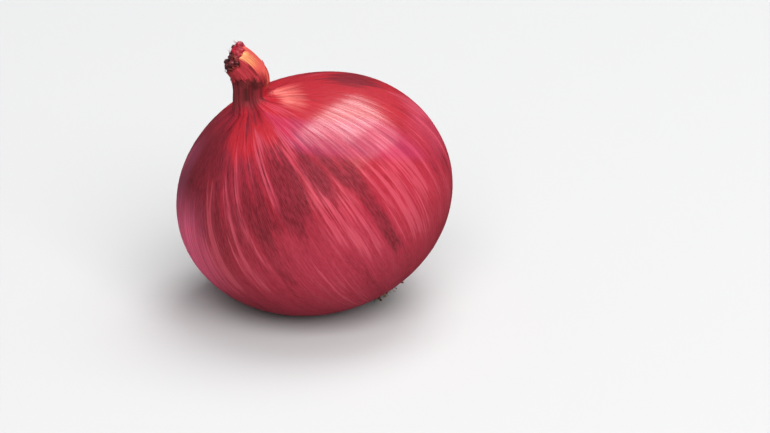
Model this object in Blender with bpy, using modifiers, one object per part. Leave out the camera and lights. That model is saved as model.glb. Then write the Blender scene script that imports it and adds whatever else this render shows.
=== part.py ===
"""A red onion lying on its lower shoulder, with its dried neck and its root plate.

The bulb is turned round the line from root to neck. Its girdle leans off square to that
line, and its neck is gathered into folds, bent over and torn off short.
"""

import math
import random

import bmesh
import bpy
from mathutils import Matrix, Vector

# The bulb, in metres and degrees
GIRTH = 0.084  # widest diameter
BULB_HEIGHT = 0.0706  # across its short axis, without the neck
GIRDLE_LEAN = 16.0  # short axis against the line from root to neck
AXIS_LEAN = 30.6  # the line from root to neck, off upright, towards -X
AXIS_TURN = 8.1  # and turned this far towards -Y
REST_SPOT = 0.016  # width of the flat that it lies on
SWELL = 0.0009  # extra fullness of the upper shoulder
SWELL_TOWARDS = (0.46, 0.10, 0.88)
SWELL_SPREAD = 0.45  # radians

# The neck: distances run up from the bulb's pole along the neck
NECK_FILLET = 0.0034
NECK_LENGTH = 0.0165
NECK_RADII = ((0.0, 0.0053), (0.0035, 0.0050), (0.0075, 0.0055), (0.012, 0.0050), (0.0165, 0.0047))
NECK_BENDS = ((0.0, 4.0), (0.0030, 28.0), (0.0065, 32.0), (0.0092, 2.0), (0.0130, -13.0), (0.0165, -30.0))
FOLDS = 11
FOLD_DEPTH = 0.0008
FOLD_MIDDLE = 0.6  # share of the depth that is pinched in, the rest stands out
FOLD_SHARPNESS = 0.7
FOLDS_LEFT = 0.3  # share of their depth that is left near the torn end
FOLD_FADE = 0.013  # folds die out this far across the shoulder

# The torn end: a crumpled core stands out of the rim of the outer sheath
TEAR_REACH = 0.005
TEAR_DEPTH = 0.0024
CORE_RINGS = ((0.0, 0.3), (0.3, 0.05), (0.56, 0.0), (0.73, 0.22), (0.79, 0.95))  # shares of radius and depth
RIM_RINGS = ((0.88, 0.88), (0.95, 0.76), (1.0, 0.95))
TEAR_SLANT = 0.0012
CORE_EDGE = (0.62, 0.82)  # shares of the neck's radius
KNOBS = 7
KNOB_HEIGHT = 0.0021
KNOB_SINK = 0.85  # share of the height that lies below the tear

# Unevenness round the onion, each as (waves to a turn, size, phase in radians)
GIRDLE_WAVES = ((2, 0.005, 2.17), (3, 0.003, 3.67))
FOLD_WAVES = ((2, 0.9, 0.7), (3, 0.5, 2.0))
FOLD_DEPTH_WAVES = ((3, 0.35, 1.1),)
KNOB_WAVES = ((2, 0.5, 1.3),)
RIM_WAVES = ((5, 0.0006, 0.5), (9, 0.00036, 0.0))

# The root plate and its dried roots
SEAT_RADIUS = 0.0068
SEAT_DEPTH = 0.0012
FIT_GAP = 0.0003
PLATE_RADIUS = SEAT_RADIUS - 2 * FIT_GAP
PLATE_BULGE = 0.0016
ROOTS = 42
ROOT_LENGTH = 0.0034
ROOT_RADIUS = 0.00040
ROOT_TAPER = (1.25, 0.7)  # shares of the radius at the foot and at the tip
ROOT_SUNK = 0.0008
ROOT_SPLAY = (0.25, 1.25)  # radians off the axis, at the plate's middle and at its edge
ROOT_STRAY = 0.25  # radians
ROOT_CURL = 0.25  # share of the length
ROOT_CLEARANCE = 0.0007  # least height of a root over the ground
ROOT_SEED = 7
GOLDEN_ANGLE = math.pi * (3 - math.sqrt(5))

# How finely the turned shapes are cut
TURN_STEPS = 66
BODY_STEPS = 26
FILLET_STEPS = 5
NECK_STEPS = 10
PLATE_STEPS = 28
PLATE_ROWS = 4
BEND_STEPS = 24
ROOT_JOINTS = 3

SKIN_COLOUR = (0.32, 0.022, 0.045, 1.0)
ROOT_COLOUR = (0.23, 0.13, 0.07, 1.0)


def girdle_lean():
    """Width share, rise and pole height that lean the girdle by GIRDLE_LEAN, with the poles on Z."""
    lean = math.radians(GIRDLE_LEAN)
    wide, high = GIRTH / 2, BULB_HEIGHT / 2
    flatness = 1 / high**2 - 1 / wide**2
    along = 1 / wide**2 + flatness * math.cos(lean) ** 2
    rise = -flatness * math.sin(lean) * math.cos(lean) / along
    return high * math.sqrt(along), rise, 1 / math.sqrt(along)


WIDTH_SHARE, RISE, POLE = girdle_lean()
LEANED = Matrix.Rotation(math.radians(-AXIS_LEAN), 3, "Y")
TO_REST = Matrix.Rotation(math.radians(AXIS_TURN), 3, "Z") @ LEANED


def rest_centre():
    """Where the bulb's centre is when the flat it lies on is centred at the origin."""
    wide = WIDTH_SHARE * GIRTH / 2
    oval = Matrix(((wide, 0, 0), (0, GIRTH / 2, 0), (RISE * wide, 0, POLE)))
    turned = TO_REST @ oval
    spread = turned @ turned.transposed()
    reach = math.sqrt(spread[2][2])
    height = reach * math.sqrt(1 - (REST_SPOT / GIRTH) ** 2)
    return Vector((spread[0][2], spread[1][2], spread[2][2])) * (height / reach**2)


CENTRE = rest_centre()


def eased(t):
    t = min(1.0, max(0.0, t))
    return t * t * (3 - 2 * t)


def along_keys(keys, at):
    """A value eased between (distance, value) keys."""
    for (low, first), (high, last) in zip(keys, keys[1:]):
        if at <= high:
            return first + (last - first) * eased((at - low) / (high - low))
    return keys[-1][1]


def waves(rows, turn):
    """The sum of sine waves round the onion."""
    return sum(size * math.sin(times * turn + phase) for times, size, phase in rows)


def straight_profile():
    """(radius, height) down the outside of the straight onion, from the torn end to the root seat."""
    tip = POLE + NECK_LENGTH
    end_radius = NECK_RADII[-1][1]
    points = [(share * end_radius, tip - depth * TEAR_DEPTH) for share, depth in CORE_RINGS + RIM_RINGS]
    neck_foot = POLE + NECK_FILLET
    for i in range(1, NECK_STEPS):
        height = tip + (neck_foot - tip) * i / NECK_STEPS
        points.append((along_keys(NECK_RADII, height - POLE), height))
    foot_radius = along_keys(NECK_RADII, NECK_FILLET)
    for i in range(FILLET_STEPS):
        turn = math.pi / 2 * i / FILLET_STEPS
        radius = foot_radius + NECK_FILLET * (1 - math.cos(turn))
        top = POLE * math.sqrt(1 - (2 * radius / GIRTH) ** 2)
        points.append((radius, top + NECK_FILLET * (1 - math.sin(turn))))
    first = math.asin(2 * (foot_radius + NECK_FILLET) / GIRTH)
    last = math.pi - math.asin(2 * SEAT_RADIUS / GIRTH)
    for i in range(BODY_STEPS + 1):
        turn = first + (last - first) * i / BODY_STEPS
        points.append((GIRTH / 2 * math.sin(turn), POLE * math.cos(turn)))
    floor = points[-1][1] + SEAT_DEPTH
    points += [(SEAT_RADIUS - FIT_GAP, floor), (0.0, floor)]
    return points


def gathered(point):
    """Folds pinched into the neck, spreading out over the shoulder."""
    radius = math.hypot(point.x, point.y)
    shoulder = 1 - (radius - NECK_RADII[0][1]) / FOLD_FADE
    if point.z < 0 or radius < 1e-6 or shoulder <= 0:
        return point
    turn = math.atan2(point.y, point.x)
    pinch = abs(math.sin(FOLDS / 2 * turn + waves(FOLD_WAVES, turn))) ** FOLD_SHARPNESS - FOLD_MIDDLE
    upwards = 1 - (1 - FOLDS_LEFT) * eased((point.z - POLE) / NECK_LENGTH)
    spread = eased(shoulder) * min(1.0, radius / NECK_RADII[0][1])
    depth = FOLD_DEPTH * pinch * (1 + waves(FOLD_DEPTH_WAVES, turn)) * upwards * spread
    on_neck = eased((point.z - POLE) / NECK_FILLET)
    outward = Vector((point.x, point.y, 0)) / radius
    return point + outward * depth * on_neck + Vector((0, 0, depth * (1 - on_neck)))


def torn(point):
    """The neck's end, slanted, with rounded knobs of crumpled skin inside a ragged rim."""
    share = eased((point.z - POLE - NECK_LENGTH + TEAR_REACH) / TEAR_REACH)
    if share <= 0:
        return point
    end_radius = NECK_RADII[-1][1]
    out = math.hypot(point.x, point.y) / end_radius
    turn = math.atan2(point.y, point.x)
    inner, outer = CORE_EDGE
    core = 1 - eased((out - inner) / (outer - inner))
    crown = abs(math.sin(KNOBS / 2 * turn + waves(KNOB_WAVES, turn))) ** FOLD_SHARPNESS
    knobs = core * eased(2 * out) * KNOB_HEIGHT * (crown - KNOB_SINK)
    rim = (1 - core) * waves(RIM_WAVES, turn)
    return point + Vector((0, 0, share * (knobs + rim + TEAR_SLANT * point.x / end_radius)))


def bent(point):
    """The neck's own bend, first back towards the upright and then over to one side."""
    distance = point.z - POLE
    if distance <= 0:
        return point
    middle = Vector((0, 0, POLE))
    for i in range(BEND_STEPS):
        turn = math.radians(along_keys(NECK_BENDS, distance * (i + 0.5) / BEND_STEPS))
        middle += Vector((math.sin(turn), 0, math.cos(turn))) * distance / BEND_STEPS
    turn = math.radians(along_keys(NECK_BENDS, distance))
    across = Vector((math.cos(turn), 0, -math.sin(turn)))
    return middle + across * point.x + Vector((0, point.y, 0))


def grown(point):
    """The leaning girdle, its faint waves and the fuller shoulder."""
    out = 2 * math.hypot(point.x, point.y) / GIRTH
    uneven = 1 + out**2 * waves(GIRDLE_WAVES, math.atan2(point.y, point.x))
    wide = WIDTH_SHARE * point.x * uneven
    grew = Vector((wide, point.y * uneven, point.z + RISE * wide))
    off = (TO_REST @ grew).angle(Vector(SWELL_TOWARDS))
    on_body = 1 - eased((point.z - POLE) / NECK_FILLET)
    return grew + grew.normalized() * SWELL * on_body * math.exp(-((off / SWELL_SPREAD) ** 2))


def turned(name, profile, steps):
    """A mesh object turned round Z from (radius, height) points that run down its outer side."""
    line = bpy.data.meshes.new(name + "_line")
    edges = [(i, i + 1) for i in range(len(profile) - 1)]
    line.from_pydata([(radius, 0, height) for radius, height in profile], edges, [])
    lathe = bpy.data.objects.new(name + "_line", line)
    bpy.context.scene.collection.objects.link(lathe)
    screw = lathe.modifiers.new("Turn", "SCREW")
    screw.steps = screw.render_steps = steps
    screw.use_merge_vertices = True
    screw.merge_threshold = 0.00001
    graph = bpy.context.evaluated_depsgraph_get()
    mesh = bpy.data.meshes.new_from_object(lathe.evaluated_get(graph))
    bpy.data.objects.remove(lathe)
    shape = bmesh.new()
    shape.from_mesh(mesh)
    bmesh.ops.remove_doubles(shape, verts=shape.verts, dist=0.00001)
    shape.to_mesh(mesh)
    shape.free()
    mesh.shade_smooth()
    return bpy.data.objects.new(name, mesh)


def material(name, colour, roughness):
    made = bpy.data.materials.new(name)
    made.use_nodes = True
    shader = made.node_tree.nodes["Principled BSDF"]
    shader.inputs["Base Color"].default_value = colour
    shader.inputs["Roughness"].default_value = roughness
    shader.inputs["Metallic"].default_value = 0.0
    return made


def make_bulb():
    """Body, neck and torn end, grown as one piece."""
    bulb = turned("bulb", straight_profile(), TURN_STEPS)
    for vertex in bulb.data.vertices:
        vertex.co = grown(bent(torn(gathered(vertex.co.copy()))))
    bulb.data.materials.append(material("onion_skin", SKIN_COLOUR, 0.38))
    return bulb


def seat_height():
    """Height of the bulb's edge round the root seat."""
    return -POLE * math.sqrt(1 - (2 * SEAT_RADIUS / GIRTH) ** 2)


def plate_profile():
    """The corky root plate, domed outside and flat against its seat."""
    edge = seat_height()
    back = edge + SEAT_DEPTH - FIT_GAP
    points = [(0.0, back), (PLATE_RADIUS - FIT_GAP, back)]
    for i in range(PLATE_ROWS + 1):
        turn = math.pi / 2 * i / PLATE_ROWS
        points.append((PLATE_RADIUS * math.cos(turn), edge - PLATE_BULGE * math.sin(turn)))
    return points


def root_line(index, draw):
    """Points along one dried root, from inside the plate to its tip, kept off the ground."""
    spread = math.sqrt((index + 0.5) / ROOTS)
    turn = index * GOLDEN_ANGLE + draw.uniform(-ROOT_STRAY, ROOT_STRAY)
    out = Vector((math.cos(turn), math.sin(turn), 0))
    around = Vector((-out.y, out.x, 0))
    foot_radius = spread * (PLATE_RADIUS - 2 * ROOT_RADIUS)
    dome = PLATE_BULGE * math.sqrt(1 - (foot_radius / PLATE_RADIUS) ** 2)
    foot = out * foot_radius + Vector((0, 0, seat_height() - dome + ROOT_SUNK))
    inner, outer = ROOT_SPLAY
    splay = inner + (outer - inner) * spread + draw.uniform(-ROOT_STRAY, ROOT_STRAY)
    stray = around * draw.uniform(-2 * ROOT_STRAY, 2 * ROOT_STRAY)
    heading = (out * math.sin(splay) - Vector((0, 0, math.cos(splay))) + stray).normalized()
    curl = Vector((draw.uniform(-1, 1), draw.uniform(-1, 1), draw.uniform(-0.3, 0.3))) * ROOT_CURL
    length = ROOT_LENGTH * draw.uniform(0.6, 1.15) + ROOT_SUNK
    while True:
        shares = [i / ROOT_JOINTS for i in range(ROOT_JOINTS + 1)]
        points = [grown(foot + (heading * at + curl * at * at) * length) for at in shares]
        lowest = min((CENTRE + TO_REST @ point).z for point in points)
        if lowest > ROOT_CLEARANCE + ROOT_RADIUS or length < 2 * ROOT_SUNK:
            return points
        length *= 0.9


def root_stub(index, draw, collection):
    """One root as a tapering tube with closed ends."""
    curve = bpy.data.curves.new("root_line", "CURVE")
    curve.dimensions = "3D"
    curve.bevel_depth = ROOT_RADIUS
    curve.bevel_resolution = 0
    curve.use_fill_caps = True
    spline = curve.splines.new("POLY")
    spline.points.add(ROOT_JOINTS)
    foot, tip = ROOT_TAPER
    for i, point in enumerate(root_line(index, draw)):
        spline.points[i].co = (*point, 1)
        spline.points[i].radius = foot + (tip - foot) * i / ROOT_JOINTS
    tube = bpy.data.objects.new("root_tube", curve)
    bpy.context.scene.collection.objects.link(tube)
    graph = bpy.context.evaluated_depsgraph_get()
    mesh = bpy.data.meshes.new_from_object(tube.evaluated_get(graph))
    bpy.data.objects.remove(tube)
    shape = bmesh.new()
    shape.from_mesh(mesh)
    bmesh.ops.remove_doubles(shape, verts=shape.verts, dist=0.00001)
    bmesh.ops.recalc_face_normals(shape, faces=shape.faces)
    shape.to_mesh(mesh)
    shape.free()
    collection.objects.link(bpy.data.objects.new("root_stub", mesh))


def make_roots():
    """The root plate with its tuft, joined into one body."""
    plate = turned("roots", plate_profile(), PLATE_STEPS)
    for vertex in plate.data.vertices:
        vertex.co = grown(vertex.co.copy())
    bpy.context.scene.collection.objects.link(plate)
    stubs = bpy.data.collections.new("root_stubs")
    bpy.context.scene.collection.children.link(stubs)
    draw = random.Random(ROOT_SEED)
    for index in range(ROOTS):
        root_stub(index, draw, stubs)
    join = plate.modifiers.new("Join", "BOOLEAN")
    join.operation = "UNION"
    join.operand_type = "COLLECTION"
    join.collection = stubs
    join.solver = "EXACT"
    graph = bpy.context.evaluated_depsgraph_get()
    joined = bpy.data.meshes.new_from_object(plate.evaluated_get(graph))
    plate.modifiers.clear()
    plate.data = joined
    for stub in list(stubs.objects):
        bpy.data.objects.remove(stub)
    bpy.data.collections.remove(stubs)
    bpy.context.scene.collection.objects.unlink(plate)
    joined.materials.clear()
    joined.materials.append(material("dried_root", ROOT_COLOUR, 0.85))
    return plate


def cut_rest_spot(bulb, cutters):
    """Takes the lowest sliver off the bulb, so that it lies on a small flat."""
    mesh = bpy.data.meshes.new("rest_cutter")
    block = bmesh.new()
    bmesh.ops.create_cube(block, size=GIRTH, matrix=Matrix.Translation((0, 0, -GIRTH / 2)))
    block.to_mesh(mesh)
    block.free()
    ground = bpy.data.objects.new("rest_cutter", mesh)
    ground.display_type = "WIRE"
    ground.hide_render = True
    cutters.objects.link(ground)
    cut = bulb.modifiers.new("RestSpot", "BOOLEAN")
    cut.operation = "DIFFERENCE"
    cut.solver = "EXACT"
    cut.object = ground


def main():
    for old in list(bpy.data.objects):
        bpy.data.objects.remove(old)
    onion = bpy.data.collections.new("onion")
    cutters = bpy.data.collections.new("cutters")
    bpy.context.scene.collection.children.link(onion)
    bpy.context.scene.collection.children.link(cutters)
    axis = bpy.data.objects.new("onion_axis", None)
    axis.matrix_world = Matrix.Translation(CENTRE) @ TO_REST.to_4x4()
    onion.objects.link(axis)
    bulb = make_bulb()
    roots = make_roots()
    for piece in (bulb, roots):
        onion.objects.link(piece)
        piece.parent = axis
    cut_rest_spot(bulb, cutters)


main()
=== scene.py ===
"""The looks of one red onion that lies on its lower shoulder, its torn dry neck up to the left."""

import math
import random

import bpy
import numpy as np
from mathutils import Matrix, Vector, noise


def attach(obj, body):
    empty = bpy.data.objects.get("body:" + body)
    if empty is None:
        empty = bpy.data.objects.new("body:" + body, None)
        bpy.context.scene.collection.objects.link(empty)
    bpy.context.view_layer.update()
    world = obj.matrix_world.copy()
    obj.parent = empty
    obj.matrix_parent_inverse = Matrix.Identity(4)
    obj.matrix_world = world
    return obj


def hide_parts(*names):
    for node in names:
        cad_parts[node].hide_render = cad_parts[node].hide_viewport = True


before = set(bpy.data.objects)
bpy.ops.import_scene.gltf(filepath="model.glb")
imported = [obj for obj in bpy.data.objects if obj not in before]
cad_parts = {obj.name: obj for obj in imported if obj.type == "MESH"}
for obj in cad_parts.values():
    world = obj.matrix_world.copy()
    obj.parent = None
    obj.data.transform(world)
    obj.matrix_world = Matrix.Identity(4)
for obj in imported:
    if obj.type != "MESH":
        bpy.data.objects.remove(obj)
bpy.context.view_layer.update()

# The bulb and its neck
# One grown body in thin, dry, crimson skin. The skin runs on up the neck, where it is gathered
# into folds, bent over and torn off, and the dark crumpled core stands out of the torn rim.

# Its form, in metres and degrees, as the solid has it. The neck's radii and bends each go with
# a height up the neck, and the depths of its torn end with a share of the end's radius.
GIRTH = 0.084
BULB_HEIGHT = 0.0706
GIRDLE_LEAN = 16.0
AXIS_LEAN = 30.6
AXIS_TURN = 8.1
REST_SPOT = 0.016
SWELL = 0.0009
SWELL_TOWARDS = (0.46, 0.10, 0.88)
SWELL_SPREAD = 0.45
NECK_FILLET = 0.0034
NECK_LENGTH = 0.0165
NECK_RADII = (
    (0.0, 0.0053), (0.0035, 0.0050), (0.0075, 0.0055), (0.012, 0.0050), (0.0165, 0.0047),
)
NECK_BENDS = (
    (0.0, 4.0), (0.0030, 28.0), (0.0065, 32.0), (0.0092, 2.0), (0.0130, -13.0), (0.0165, -30.0),
)
FOLDS = 11
FOLD_DEPTH = 0.0008
FOLD_MIDDLE = 0.6
FOLD_SHARPNESS = 0.7
FOLDS_LEFT = 0.3
FOLD_FADE = 0.013
TEAR_REACH = 0.005
TEAR_DEPTH = 0.0024
TEAR_SLANT = 0.0012
TEAR_KEYS = (
    (0.0, 0.3), (0.3, 0.05), (0.56, 0.0), (0.73, 0.22),
    (0.79, 0.95), (0.88, 0.88), (0.95, 0.76), (1.0, 0.95),
)
CORE_EDGE = (0.62, 0.82)
KNOBS = 7
KNOB_HEIGHT = 0.0021
KNOB_SINK = 0.85
SEAT_RADIUS = 0.0068
SEAT_DEPTH = 0.0012
FIT_GAP = 0.0003

# Unevenness round the onion, each as (waves to a turn, size, phase)
GIRDLE_WAVES = ((2, 0.005, 2.17), (3, 0.003, 3.67))
FOLD_WAVES = ((2, 0.9, 0.7), (3, 0.5, 2.0))
FOLD_DEPTH_WAVES = ((3, 0.35, 1.1),)
KNOB_WAVES = ((2, 0.5, 1.3),)
RIM_WAVES = ((5, 0.0006, 0.5), (9, 0.00036, 0.0))
BRINK_WAVES = ((7, 0.5, 0.7), (17, 0.4, 0.0), (31, 0.25, 1.0))

# Where the outer sheath of the neck ends, in millimetres up it, and how much higher or lower
# that is on two of its sides
BRINK = 8.6
BRINK_LEFT = 1.9
BRINK_RIGHT = -1.3

# Finer relief than the solid has
COLUMNS = 440
BODY_ROWS = 118
FILLET_ROWS = 14
NECK_ROWS = 40
TEAR_ROWS = 16
RIM_SHARE = 0.7
TIP_SHARE = 0.06
WELD_DISTANCE = 0.000001
BEND_STEPS = 400
SMALL_FOLDS = 37
SMALL_FOLD_DEPTH = 0.00005
CRUMPLE = 0.0005
CRUMPLE_SEED = 3
CRUMPLE_SCALE = 900
CRUMPLE_REACH = 0.0022
CRUMPLE_FADE = 0.001
CRUMPLE_SHARE = 0.86
CRUMPLE_SHARE_FADE = 0.1
HOOD_LEDGE = 0.00025
LEDGE_WIDTH = 0.0005
LEDGE_FOOT = 0.004
LEDGE_END = 0.0155
LEDGE_END_FADE = 0.002
LEDGE_INNER = 0.004
RIB_COUNT = 13.0
RIB_DEPTH = 0.00022
VEIN_COUNT = 46.0
VEIN_DEPTH = 0.00005


def girdle_lean():
    """Width share, rise and pole height that lean the girdle, with the poles on Z."""
    lean = math.radians(GIRDLE_LEAN)
    wide, high = GIRTH / 2, BULB_HEIGHT / 2
    flatness = 1 / high**2 - 1 / wide**2
    along = 1 / wide**2 + flatness * math.cos(lean) ** 2
    rise = -flatness * math.sin(lean) * math.cos(lean) / along
    return high * math.sqrt(along), rise, 1 / math.sqrt(along)


WIDTH_SHARE, RISE, POLE = girdle_lean()
LEANED = Matrix.Rotation(math.radians(-AXIS_LEAN), 3, "Y")
TO_REST = Matrix.Rotation(math.radians(AXIS_TURN), 3, "Z") @ LEANED


def rest_centre():
    """Where the bulb's centre is when the flat it lies on is centred at the origin."""
    wide = WIDTH_SHARE * GIRTH / 2
    turned = TO_REST @ Matrix(((wide, 0, 0), (0, GIRTH / 2, 0), (RISE * wide, 0, POLE)))
    spread = turned @ turned.transposed()
    reach = math.sqrt(spread[2][2])
    height = reach * math.sqrt(1 - (REST_SPOT / GIRTH) ** 2)
    return Vector((spread[0][2], spread[1][2], spread[2][2])) * (height / reach**2)


CENTRE = rest_centre()


def eased(t):
    """0 below 0, 1 above 1 and a smooth ramp between."""
    t = np.clip(t, 0, 1)
    return t * t * (3 - 2 * t)


def along_keys(keys, at):
    """Values eased between (distance, value) keys, for an array of distances."""
    values = np.full_like(at, keys[-1][1])
    for (low, first), (high, last) in reversed(list(zip(keys, keys[1:]))):
        risen = eased((at - low) / (high - low))
        values = np.where(at <= high, first + (last - first) * risen, values)
    return values


def between(value, low, high, soft):
    """1 from low to high, easing to 0 over soft beyond both."""
    return eased((value - low) / soft + 1) * eased((high - value) / soft + 1)


def degrees_apart(a, b):
    """How far two turns are from each other, from 0 to 180."""
    return np.abs((a - b + 180) % 360 - 180)


def waves(rows, turn):
    """The sum of the waves in a table of (waves to a turn, size, phase)."""
    return sum(size * np.sin(times * turn + phase) for times, size, phase in rows)


def skin_profile():
    """(radius, height) up the outside of the straight onion, from the root seat to the torn end."""
    edge = math.asin(2 * SEAT_RADIUS / GIRTH)
    foot = float(along_keys(NECK_RADII, np.array(NECK_FILLET)))
    shoulder = math.pi - math.asin(2 * (foot + NECK_FILLET) / GIRTH)
    turn = np.linspace(edge, shoulder, BODY_ROWS)
    body = np.column_stack([GIRTH / 2 * np.sin(turn), -POLE * np.cos(turn)])
    floor = body[0, 1] + SEAT_DEPTH
    seat = np.array([(0.0, floor), (SEAT_RADIUS / 2, floor), (SEAT_RADIUS - FIT_GAP, floor)])
    turn = np.linspace(math.pi / 2, 0, FILLET_ROWS + 1)[1:]
    radius = foot + NECK_FILLET * (1 - np.cos(turn))
    dome = POLE * np.sqrt(1 - (2 * radius / GIRTH) ** 2)
    fillet = np.column_stack([radius, dome + NECK_FILLET * (1 - np.sin(turn))])
    rim = POLE + NECK_LENGTH - TEAR_KEYS[-1][1] * TEAR_DEPTH
    up = np.linspace(fillet[-1, 1], rim, NECK_ROWS + 1)[1:]
    neck = np.column_stack([along_keys(NECK_RADII, up - POLE), up])
    torn_rim = np.linspace(1, RIM_SHARE, TEAR_ROWS)[1:]
    knobs = np.linspace(RIM_SHARE, TIP_SHARE, TEAR_ROWS)[1:]
    share = np.concatenate([torn_rim, knobs, [0.0]])
    depth = np.interp(share, *zip(*TEAR_KEYS))
    end = np.column_stack([share * NECK_RADII[-1][1], POLE + NECK_LENGTH - depth * TEAR_DEPTH])
    return np.vstack([seat, body, fillet, neck, end])


def add(tree, kind, values=None, **settings):
    """A new node: its own settings, and what each of its sockets holds or is linked to."""
    node = tree.nodes.new(kind)
    for name, value in settings.items():
        setattr(node, name, value)
    for socket, value in (values or {}).items():
        if isinstance(value, bpy.types.NodeSocket):
            tree.links.new(value, node.inputs[socket])
        else:
            node.inputs[socket].default_value = value
    return node


def calc(tree, operation, *values):
    """The output of a new Math node."""
    return add(tree, "ShaderNodeMath", dict(enumerate(values)), operation=operation).outputs[0]


def new_tree(name, kind, inputs, outputs):
    """An empty node group with named sockets, and its input and output nodes."""
    tree = bpy.data.node_groups.new(name, kind)
    for way, sockets in (("INPUT", inputs), ("OUTPUT", outputs)):
        for label, socket_kind in sockets:
            tree.interface.new_socket(label, in_out=way, socket_type="NodeSocket" + socket_kind)
    return tree, tree.nodes.new("NodeGroupInput").outputs, tree.nodes.new("NodeGroupOutput")


def close_tree(tree, shape, given, result):
    """Ends a tree that makes a mesh: real faces, with the material, to its output."""
    shape = add(tree, "GeometryNodeRealizeInstances", {0: shape}).outputs[0]
    dressed = add(tree, "GeometryNodeSetMaterial", {"Geometry": shape, "Material": given["Material"]})
    tree.links.new(dressed.outputs[0], result.inputs[0])


def turned_skin_tree():
    """Turns a profile line round Z, with ribs and veins that run from root to neck."""
    inputs = [("Geometry", "Geometry"), ("Columns", "Int"), ("Rib Count", "Float"), ("Rib Depth", "Float")]
    inputs += [("Vein Count", "Float"), ("Vein Depth", "Float"), ("Material", "Material")]
    tree, given, result = new_tree("Turned skin", "GeometryNodeTree", inputs, [("Geometry", "Geometry")])
    profile = add(tree, "GeometryNodeAttributeDomainSize", {"Geometry": given["Geometry"]})
    rows = profile.outputs["Point Count"]
    columns = calc(tree, "ADD", given["Columns"], 1.0)
    size = {"Size X": 1.0, "Size Y": 1.0, "Vertices X": columns, "Vertices Y": rows}
    grid = add(tree, "GeometryNodeMeshGrid", size).outputs["Mesh"]
    place = tree.nodes.new("GeometryNodeInputPosition").outputs[0]
    flat = add(tree, "ShaderNodeSeparateXYZ", {0: place}).outputs
    turn = calc(tree, "MULTIPLY", calc(tree, "ADD", flat["X"], 0.5), 2 * math.pi)
    row = calc(tree, "MULTIPLY", calc(tree, "ADD", flat["Y"], 0.5), calc(tree, "SUBTRACT", rows, 1.0))
    lookup = {"Geometry": given["Geometry"], "Value": place, "Index": calc(tree, "ROUND", row)}
    sample = add(tree, "GeometryNodeSampleIndex", lookup, data_type="FLOAT_VECTOR")
    line = add(tree, "ShaderNodeSeparateXYZ", {0: sample.outputs[0]}).outputs
    cosine, sine = calc(tree, "COSINE", turn), calc(tree, "SINE", turn)
    relief = 0.0
    for count, depth, stretch in (("Rib Count", "Rib Depth", 22.0), ("Vein Count", "Vein Depth", 30.0)):
        spot = {
            "X": calc(tree, "MULTIPLY", cosine, given[count]),
            "Y": calc(tree, "MULTIPLY", sine, given[count]),
            "Z": calc(tree, "MULTIPLY", line["Z"], stretch),
        }
        where = add(tree, "ShaderNodeCombineXYZ", spot).outputs[0]
        lumps = add(tree, "ShaderNodeTexNoise", {"Vector": where, "Scale": 1.0, "Detail": 2.0}).outputs[0]
        step = calc(tree, "MULTIPLY", calc(tree, "SUBTRACT", lumps, 0.5), given[depth])
        relief = calc(tree, "ADD", relief, step)
    fade = calc(tree, "MINIMUM", calc(tree, "DIVIDE", line["X"], GIRTH / 4), 1.0)
    radius = calc(tree, "ADD", line["X"], calc(tree, "MULTIPLY", relief, fade))
    across, deep = calc(tree, "MULTIPLY", cosine, radius), calc(tree, "MULTIPLY", sine, radius)
    moved = add(tree, "ShaderNodeCombineXYZ", {"X": across, "Y": deep, "Z": line["Z"]}).outputs[0]
    shape = add(tree, "GeometryNodeSetPosition", {"Geometry": grid, "Position": moved}).outputs[0]
    weld = {"Geometry": shape, "Distance": WELD_DISTANCE}
    shape = add(tree, "GeometryNodeMergeByDistance", weld).outputs[0]
    shape = add(tree, "GeometryNodeSetShadeSmooth", {0: shape}).outputs[0]
    close_tree(tree, shape, given, result)
    return tree


def made_by(tree, name, source, values):
    """A plain mesh object at the origin, made by a Geometry Nodes tree on the source mesh."""
    bench = bpy.data.objects.new(name, source)
    bpy.context.scene.collection.objects.link(bench)
    modifier = bench.modifiers.new("Make", "NODES")
    modifier.node_group = tree
    for item in tree.interface.items_tree:
        if item.in_out == "INPUT" and item.name in values:
            modifier[item.identifier] = values[item.name]
    evaluated = bench.evaluated_get(bpy.context.evaluated_depsgraph_get())
    mesh = bpy.data.meshes.new_from_object(evaluated)
    bench.modifiers.remove(modifier)
    bench.data = mesh
    bpy.data.meshes.remove(source)
    mesh.name = name
    return bench


def line_mesh(name, points):
    """One line through the points, as the edges of a mesh."""
    mesh = bpy.data.meshes.new(name)
    mesh.from_pydata([tuple(p) for p in points], [(i, i + 1) for i in range(len(points) - 1)], [])
    return mesh


def mesh_points(mesh):
    points = np.empty(len(mesh.vertices) * 3, np.float32)
    mesh.vertices.foreach_get("co", points)
    return points.reshape(-1, 3).astype(float)


def set_points(mesh, points):
    mesh.vertices.foreach_set("co", points.astype(np.float32).ravel())
    mesh.update()


def paint(mesh, name, values):
    """Stores one number or one vector a point, for the material to read."""
    kind, field = ("FLOAT", "value") if values.ndim == 1 else ("FLOAT_VECTOR", "vector")
    mesh.attributes.new(name, kind, "POINT").data.foreach_set(field, values.astype(np.float32).ravel())


def fold_pinch(turn):
    """How far each point round the neck is pushed out, from -FOLD_MIDDLE in a crease."""
    pinch = np.abs(np.sin(FOLDS / 2 * turn + waves(FOLD_WAVES, turn))) ** FOLD_SHARPNESS - FOLD_MIDDLE
    return pinch * (1 + waves(FOLD_DEPTH_WAVES, turn))


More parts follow.
